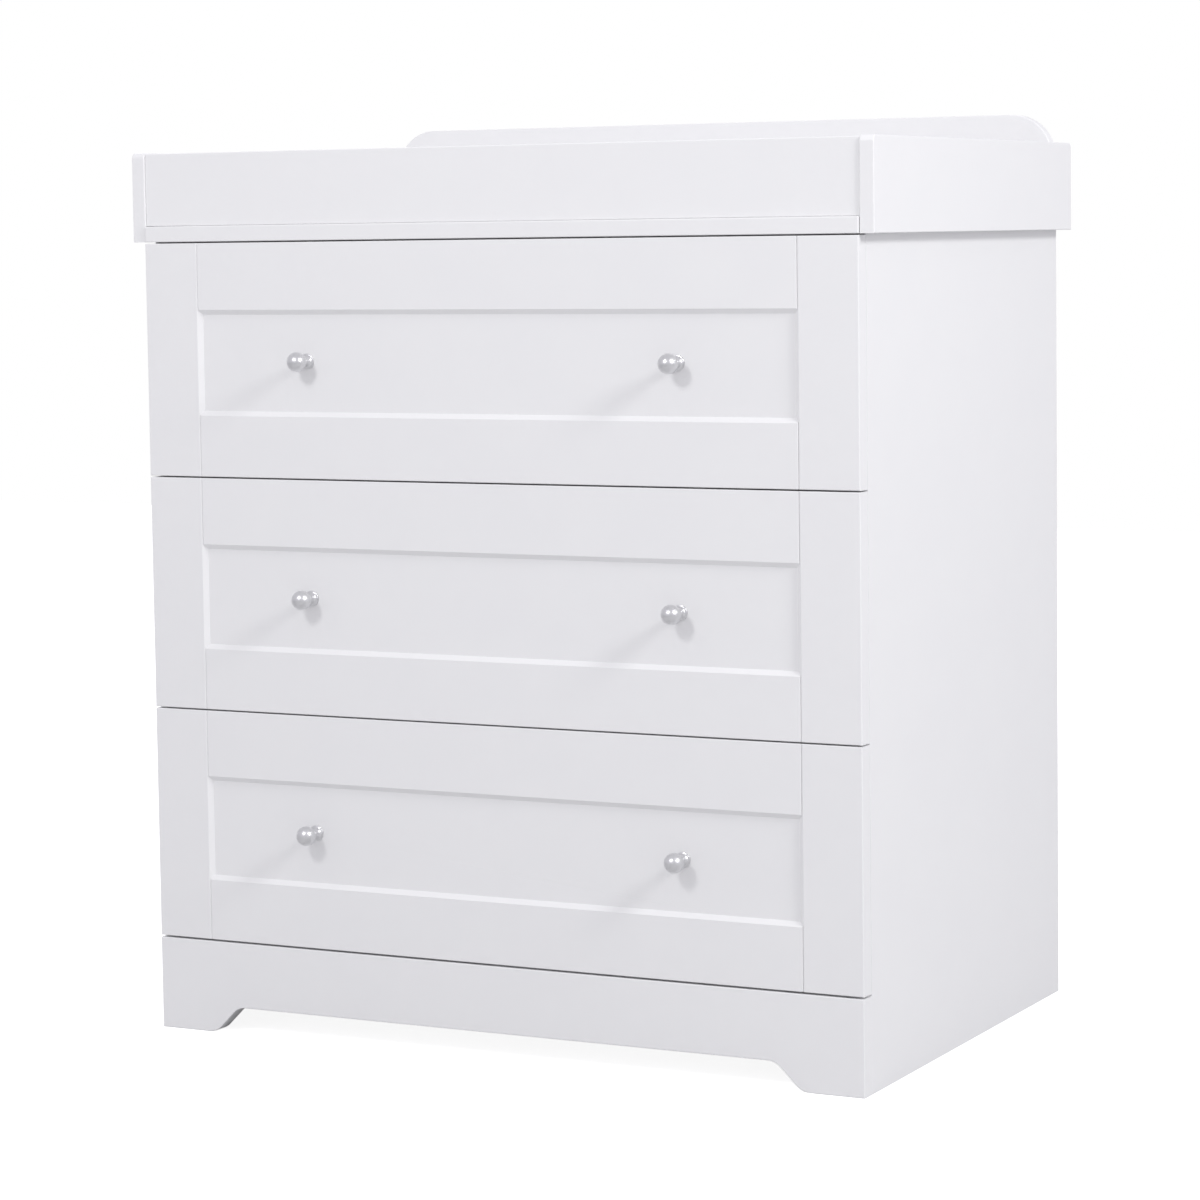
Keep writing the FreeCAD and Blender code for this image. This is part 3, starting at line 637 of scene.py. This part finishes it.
def carved(mesh, cutters, finish):
    """The mesh with the cutters, a list of (mesh, place, turn about Z), taken out of it."""
    block = bpy.data.objects.new("block", mesh)
    bpy.context.scene.collection.objects.link(block)
    tools = []
    for cutter, place, turn in cutters:
        tool = bpy.data.objects.new("tool", cutter)
        tool.matrix_world = Matrix.Translation(Vector(place) * MM) @ Matrix.Rotation(turn, 4, "Z")
        bpy.context.scene.collection.objects.link(tool)
        cut = block.modifiers.new("recess", "BOOLEAN")
        cut.operation = "DIFFERENCE"
        cut.object = tool
        tools.append(tool)
    view = bpy.context.evaluated_depsgraph_get()
    made = bpy.data.meshes.new_from_object(block.evaluated_get(view), depsgraph=view)
    made.materials.clear()
    made.materials.append(finish)
    for item in tools + [block]:
        bpy.data.objects.remove(item)
    return made


def screw(length, shank, head, height, finish, around=28):
    """A pan-head screw with its tip at the origin and its head at the top, in millimetres."""
    under = length - height
    edge = min(SCREW_EDGE, height / 3)
    dome = height - edge
    points = [(0, 0), (shank * SCREW_TIP, 0), (shank, shank / 2), (shank, under), (head - edge, under)]
    points += arc((head - edge, under + edge), edge, -60, 0, 2)[:-1]
    points += arc((head - dome, under + edge), dome, 0, 60, 4)
    points += [(head - dome - 0.1, length), (0, length)]
    blank = turned(points, around, finish)
    slot = wedge(head * RECESS_ARM, head * RECESS_WIDTH, height * RECESS_DEPTH, MOUTH)
    place = (0, 0, length)
    return carved(blank, [(slot, place, 0), (slot, place, math.pi / 2)], finish)


print("screw helpers ready")

# %% [markdown]
# Two kinds of screw can be seen: those that hold the knobs, whose heads show inside the drawers, and
# those of the two steel plates that keep the tray in its place.

# %% Make the screws
PLATE_SCREW = {"shank": 1.75, "head": 3.5, "height": 1.7}
KNOB_SCREW = {"shank": 2.0, "head": 4.0, "height": 2.5}


def replace_screws(node, body, kind, rows_up):
    """Screws with their heads to the rear, set out in the box of the node that they replace."""
    low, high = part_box(node)
    finish = finishes["zinc_fittings"]
    piece = screw((high.y - low.y) / MM, finish=finish, **kind)
    radius = kind["head"] * MM
    start = (low.x + radius, low.y, low.z + radius)
    across = (high.x - low.x - 2 * radius, 0, 0)
    up = (0, 0, high.z - low.z - 2 * radius)
    heads = set_out(piece, finish, start, across, 2, up, rows_up, TO_REAR)
    fitted(node + "_cross_head", body, "zinc_fittings", [heads], node)
    return len(piece.polygons)


for number in DRAWERS:
    replace_screws("drawer_%d_knob_screws" % number, "drawer_%d" % number, KNOB_SCREW, 1)
print("faces in a screw:", replace_screws("changer_plate_screws", "changer_tray", PLATE_SCREW, 2))

# %% [markdown]
# ## Cam locks
# The carcass is pulled together by cams: round zinc drums in the boards that grip a bolt when they
# are turned half round. What shows is the face of the drum, with its cross and the arrow that says
# which way to start. They sit under the bottom panel, under the front rail and in the rear rails.

# %% Make the cam locks
CAM_RADIUS = 7.5
CAM_HEIGHT = 12.5
CAM_EDGE = 0.35
CAM_DISH = 5.6
CAM_DISH_DEPTH = 0.4
CAM_DISH_SLOPE = 0.3
CAM_CROSS = {"length": 6.4, "width": 1.3, "depth": 2.6}
CAM_ARROW_PLACE = 4.3
CAM_RAIL_DROP = 25 * MM
CAM_FRONT_ROW = 90 * MM
CAM_REAR_ROW = 430 * MM
CAM_RAIL_ROW = 45 * MM


def arrow_cutter():
    """A three-sided cutter for the arrow, with its point away from the middle of the face."""
    cutter = bmesh.new()
    bmesh.ops.create_cone(cutter, cap_ends=True, segments=3, radius1=0.9, radius2=0.9, depth=1.6)
    bmesh.ops.scale(cutter, vec=(MM, MM, MM), verts=cutter.verts)
    mesh = bpy.data.meshes.new("arrow")
    cutter.to_mesh(mesh)
    cutter.free()
    return mesh


def cam_face(finish):
    rim = CAM_RADIUS - CAM_EDGE
    points = [(0, -CAM_HEIGHT), (rim, -CAM_HEIGHT)]
    points += [(CAM_RADIUS, CAM_EDGE - CAM_HEIGHT), (CAM_RADIUS, -CAM_EDGE)]
    points += arc((rim, -CAM_EDGE), CAM_EDGE, 30, 90, 2)
    points += [(CAM_DISH, 0), (CAM_DISH - CAM_DISH_SLOPE, -CAM_DISH_DEPTH), (0, -CAM_DISH_DEPTH)]
    drum = turned(points, 40, finish)
    cross = wedge(top=MOUTH, taper=0.7, **CAM_CROSS)
    middle = (0, 0, 0)
    arrow = (arrow_cutter(), (0, CAM_ARROW_PLACE, 0), math.pi / 2)
    return carved(drum, [(cross, middle, 0), (cross, middle, math.pi / 2), arrow], finish)


def make_cam_locks():
    finish = finishes["zinc_fittings"]
    cam = cam_face(finish)
    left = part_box("chest_cam_locks")[0].x + CAM_RADIUS * MM
    low_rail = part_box("chest_cam_locks")[0].z + CAM_RADIUS * MM
    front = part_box("drawer_1_stile_left")[0].y
    top_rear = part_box("top_rear_rail")[1]
    high_rail = top_rear.z - CAM_RAIL_DROP
    pair = (-2 * left, 0, 0)
    bottom = set_out(cam, finish, (left, front + CAM_FRONT_ROW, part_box("bottom_panel")[0].z), pair, 2,
                     (0, CAM_REAR_ROW - CAM_FRONT_ROW, 0), 2, DOWNWARDS)
    rail = set_out(cam, finish, (left, front + CAM_RAIL_ROW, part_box("top_front_rail")[0].z), pair, 2,
                   turn=DOWNWARDS)
    rear = set_out(cam, finish, (left, top_rear.y, low_rail), pair, 2,
                   (0, 0, high_rail - low_rail), 2, TO_REAR)
    fitted("chest_cross_cams", "cabinet", "zinc_fittings", [bottom, rail, rear], "chest_cam_locks")
    return len(cam.polygons)


print("faces in a cam:", make_cam_locks())

# %% [markdown]
# ## Inside the runners
# A full-extension runner has three steel members. Flat screws hold the outer members to the chest
# and the inner members to the drawer. Each row of screws is one run of the rows tree.

# %% Runner screws
RUNNER_SCREW = {"shank": 1.5, "head": 3.2, "height": 0.7}
RUNNER_SCREW_GRIP = 2.0
RUNNER_SCREW_FIRST = 35 * MM
RUNNER_SCREW_STEP = (0, 165 * MM, 0)
RUNNER_STEEL = 1.2 * MM
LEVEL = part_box("drawer_1_stile_left")[0].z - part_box("drawer_2_stile_left")[0].z


def screw_rows(head, sign, towards, face, y, z, levels, finish):
    """Three screws along a member, on a web face at |X| = face; `towards` is 1 to face the middle."""
    tip = sign * (face + towards * RUNNER_SCREW_GRIP * MM)
    turn = (0, -sign * towards * math.pi / 2, 0)
    return set_out(head, finish, (tip, y, z), RUNNER_SCREW_STEP, 3, (0, 0, LEVEL), levels, turn)


def make_runner_screws():
    finish = finishes["zinc_fittings"]
    length = RUNNER_SCREW_GRIP + RUNNER_SCREW["height"]
    head = screw(length, finish=finish, around=20, **RUNNER_SCREW)
    outer_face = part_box("side_panel_right")[0].x - RUNNER_STEEL
    inner_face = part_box("drawer_1_box_side_right")[1].x + RUNNER_STEEL
    held = []
    for number in DRAWERS:
        low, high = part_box("drawer_%d_runner_inner_members" % number)
        y, z = low.y + RUNNER_SCREW_FIRST, (low.z + high.z) / 2
        sides = [screw_rows(head, sign, -1, inner_face, y, z, 1, finish) for _, sign in SIDES]
        fitted("drawer_%d_runner_screws" % number, "drawer_%d" % number, "zinc_fittings", sides)
        held.append(z)
    outer = [screw_rows(head, sign, 1, outer_face, y, min(held), len(held), finish) for _, sign in SIDES]
    fitted("chest_runner_screws", "cabinet", "zinc_fittings", outer)
    return len(head.polygons)


print("faces in a runner screw:", make_runner_screws())

# %% [markdown]
# Between the members run trains of balls, which sit in the windows of thin cages and let a loaded
# drawer glide. Hundreds of them are needed, so a ball has only sixty faces and a cage link
# thirty-two. They ride on the middle members.

# %% Balls and cages
BALL_PITCH = 15 * MM
BALL_COUNT = 13
BALL_AROUND = 10
BALL_STEPS = 6
WINDOW_ROOM = 1.12
TRAIN_END = 10 * MM
LINK_GAP = 0.3 * MM
TRAINS = {
    "outer": {"ball": 1.1, "place": 376 * MM, "outside": 1.15 * MM, "width": 5.4 * MM, "thick": 0.6 * MM},
    "inner": {"ball": 1.85, "place": 374.8 * MM, "outside": -3.1 * MM, "width": 4.6 * MM, "thick": 0.8 * MM},
}


def cage_link(width, thick, hole):
    """One flat link of a ball cage, along Y, with an eight-sided window in it."""
    link = bmesh.new()
    rings = []
    for z in (-thick / 2, thick / 2):
        corners = [(math.cos(math.tau * n / 8), math.sin(math.tau * n / 8)) for n in range(8)]
        window = [link.verts.new((hole * x, hole * y, z)) for x, y in corners]
        reach = [max(abs(x), abs(y)) for x, y in corners]
        long = (BALL_PITCH - LINK_GAP) / 2
        edge = [link.verts.new((width / 2 * x / r, long * y / r, z)) for (x, y), r in zip(corners, reach)]
        rings += [window, edge]
    window_low, edge_low, window_high, edge_high = rings
    for n in range(8):
        after = (n + 1) % 8
        link.faces.new((window_high[n], edge_high[n], edge_high[after], window_high[after]))
        link.faces.new((window_low[after], edge_low[after], edge_low[n], window_low[n]))
        link.faces.new((edge_low[n], edge_low[after], edge_high[after], edge_high[n]))
        link.faces.new((window_low[after], window_low[n], window_high[n], window_high[after]))
    mesh = bpy.data.meshes.new("cage_link")
    link.to_mesh(mesh)
    link.free()
    return mesh


def make_ball_trains():
    finish = finishes["runner_steel"]
    for number in DRAWERS:
        low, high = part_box("drawer_%d_runner_middle_members" % number)
        length = BALL_PITCH * (BALL_COUNT - 1)
        starts = {"outer": high.y - TRAIN_END - length, "inner": low.y + TRAIN_END}
        made = []
        for train, size in TRAINS.items():
            ball = turned(arc((0, 0), size["ball"], -90, 90, BALL_STEPS), BALL_AROUND, finish)
            link = cage_link(size["width"], size["thick"], size["ball"] * MM * WINDOW_ROOM)
            rise = (0, 0, high.z - low.z + 2 * size["outside"])
            along = (0, BALL_PITCH, 0)
            for _, sign in SIDES:
                start = (sign * size["place"], starts[train], low.z - size["outside"])
                made += [set_out(piece, finish, start, along, BALL_COUNT, rise, 2) for piece in (ball, link)]
        body = "runner_middle_%d" % number
        fitted("drawer_%d_runner_balls" % number, body, "runner_steel", made)
    return BALL_COUNT * 2 * len(TRAINS) * len(SIDES) * len(DRAWERS)


print("balls:", make_ball_trains())

# %% [markdown]
# ## The floor
# A pale floor catches a faint shadow under the plinth. It also gives off a little light of its own,
# but only to the camera, so that it meets the white background without a visible edge. It is a
# stage, not a part of the table.

# %% Floor
FLOOR_SIZE = 12.0
FLOOR_GLOW = 0.9


def make_floor():
    mesh = bpy.data.meshes.new("studio_floor")
    half = FLOOR_SIZE / 2
    corners = [(-half, -half, 0), (half, -half, 0), (half, half, 0), (-half, half, 0)]
    mesh.from_pydata(corners, [], [(0, 1, 2, 3)])
    floor = bpy.data.objects.new("studio_floor", mesh)
    bpy.context.scene.collection.objects.link(floor)
    finish = Finish("pale_floor")
    path = finish.node("LightPath", output="Is Camera Ray")
    wide = finish.noise(1.5, 2.0)
    paper = finish.node("Emission", inputs={"Color": grey(1.0), "Strength": path * FLOOR_GLOW})
    cloth = finish.node("BsdfDiffuse", inputs={"Color": finish.colours(wide, grey(0.6), grey(0.61))})
    both = finish.node("AddShader", inputs={0: paper, 1: cloth})
    finish.feed(finish.tree.nodes["Material Output"].inputs["Surface"], both)
    mesh.materials.append(finish.material)


make_floor()
